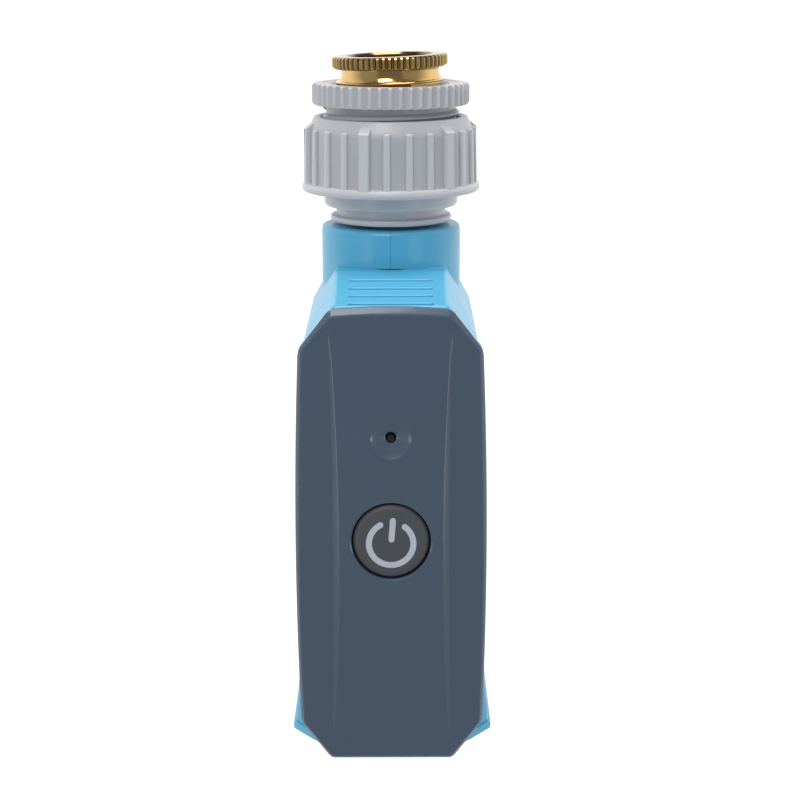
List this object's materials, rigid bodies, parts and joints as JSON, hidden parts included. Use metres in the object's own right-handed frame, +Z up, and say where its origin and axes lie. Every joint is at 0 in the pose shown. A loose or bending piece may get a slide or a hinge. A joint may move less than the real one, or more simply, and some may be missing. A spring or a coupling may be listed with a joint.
{
  "type": "drip irrigation timer",
  "caption": "Battery tap timer for drip irrigation: threaded inlet stack, motor ball valve in a two-part case, pull-out front drawer with button.",
  "frame": {"origin": "centre of the inlet opening at the top of the threaded inlet adapter", "axes": "+Z up along the water pipe towards the tap, -Y out through the front panel, +X to the right seen from the front"},
  "size_m": [0.048, 0.0671, 0.1746],
  "materials": {
    "blue_plastic": "satin",
    "slate_plastic": "satin, fine texture",
    "grey_plastic": "satin",
    "button_plastic": "matt",
    "mark_plastic": "satin",
    "brass": "polished",
    "steel": "bright",
    "rubber": "matt",
    "white_plastic": "satin",
    "chrome_plate": "polished",
    "board_green": "satin",
    "red_sleeve": "satin",
    "cell_jacket": "gloss",
    "clear_plastic": "clear"
  },
  "bodies": {
    "housing": {"housing_left": "blue_plastic", "housing_right": "blue_plastic", "housing_screw_1": "steel", "housing_screw_2": "steel", "housing_screw_3": "steel", "housing_screw_4": "steel", "inlet_spigot": "grey_plastic", "spigot_o_ring": "rubber", "nut_snap_ring": "steel", "valve_body": "white_plastic", "ball_seat_lower": "white_plastic", "ball_seat_upper": "white_plastic", "stem_o_ring": "rubber", "motor": "steel", "gearbox_cover": "white_plastic", "contact_board": "board_green", "idler_pin_a": "steel", "idler_pin_b": "steel", "gearbox_screw_1": "steel", "gearbox_screw_2": "steel", "motor_lead_red": "red_sleeve", "motor_lead_black": "rubber", "outlet_stub": "grey_plastic"},
    "valve": {"valve_ball": "chrome_plate", "valve_stem": "brass", "output_gear": "white_plastic"},
    "idler_a": {"idler_gear_a": "white_plastic"},
    "idler_b": {"idler_gear_b": "white_plastic"},
    "motor_rotor": {"motor_pinion": "brass", "motor_shaft": "steel"},
    "nut": {"swivel_nut": "grey_plastic", "filter_washer": "white_plastic"},
    "reducer_seat": {"reducer_washer": "rubber"},
    "reducer": {"reducer_adapter": "grey_plastic"},
    "inlet_seat": {"brass_washer": "rubber"},
    "inlet": {"brass_adapter": "brass"},
    "drawer": {"front_case": "blue_plastic", "front_panel": "slate_plastic", "drawer_seal": "rubber", "battery_tray": "button_plastic", "cell_left": "cell_jacket", "cell_right": "cell_jacket", "cell_contact_bottom": "steel", "cell_contact_top_left": "steel", "cell_contact_top_right": "steel", "cell_spring_bottom": "steel", "cell_spring_top": "steel", "circuit_board": "board_green", "tact_switch": "button_plastic", "status_led": "clear_plastic", "light_pipe": "clear_plastic", "radio_module": "steel", "contact_pin_a": "brass", "contact_pin_b": "brass", "board_screw_1": "steel", "board_screw_2": "steel"},
    "button": {"power_button": "button_plastic", "button_mark_ring": "mark_plastic", "button_mark_bar": "mark_plastic", "switch_plunger": "rubber"}
  },
  "joints": [
    {"name": "drawer_slide", "type": "slide", "parent": "housing", "child": "drawer", "axis": [0, -1, 0], "range_m": [0, 0.06]},
    {"name": "button_press", "type": "slide", "parent": "drawer", "child": "button", "axis": [0, 1, 0], "range_m": [0, 0.0008], "stiffness_N_per_m": 1500},
    {"name": "nut_swivel", "type": "hinge", "parent": "housing", "child": "nut", "pos_m": [0, 0, -0.0236], "axis": [0, 0, 1], "continuous": true},
    {"name": "reducer_lift", "type": "slide", "parent": "nut", "child": "reducer_seat", "axis": [0, 0, 1], "range_m": [0, 0.00693]},
    {"name": "reducer_unscrew", "type": "hinge", "parent": "reducer_seat", "child": "reducer", "pos_m": [0, 0, -0.0141], "axis": [0, 0, 1], "range_deg": [0, 1080]},
    {"name": "inlet_lift", "type": "slide", "parent": "reducer", "child": "inlet_seat", "axis": [0, 0, 1], "range_m": [0, 0.00544]},
    {"name": "inlet_unscrew", "type": "hinge", "parent": "inlet_seat", "child": "inlet", "pos_m": [0, 0, -0.0071], "axis": [0, 0, 1], "range_deg": [0, 1080]},
    {"name": "valve_turn", "type": "hinge", "parent": "housing", "child": "valve", "pos_m": [0, -0.014, -0.0771], "axis": [0, 1, 0], "range_deg": [0, 90]},
    {"name": "idler_a_turn", "type": "hinge", "parent": "housing", "child": "idler_a", "pos_m": [-0.01082, -0.0185, -0.07085], "axis": [0, 1, 0], "range_deg": [-360, 0]},
    {"name": "idler_b_turn", "type": "hinge", "parent": "housing", "child": "idler_b", "pos_m": [-0.00536, -0.021, -0.06434], "axis": [0, 1, 0], "range_deg": [0, 864]},
    {"name": "motor_turn", "type": "hinge", "parent": "housing", "child": "motor_rotor", "pos_m": [0.00301, -0.023, -0.06581], "axis": [0, 1, 0], "range_deg": [-2073.6, 0]}
  ],
  "couplings": [
    {"joint": "reducer_unscrew", "follows": "reducer_lift", "rad_per_m": 2721.2},
    {"joint": "inlet_unscrew", "follows": "inlet_lift", "rad_per_m": 3463.7},
    {"joint": "idler_a_turn", "follows": "valve_turn", "ratio": -4},
    {"joint": "idler_b_turn", "follows": "valve_turn", "ratio": 9.6},
    {"joint": "motor_turn", "follows": "valve_turn", "ratio": -23.04}
  ]
}
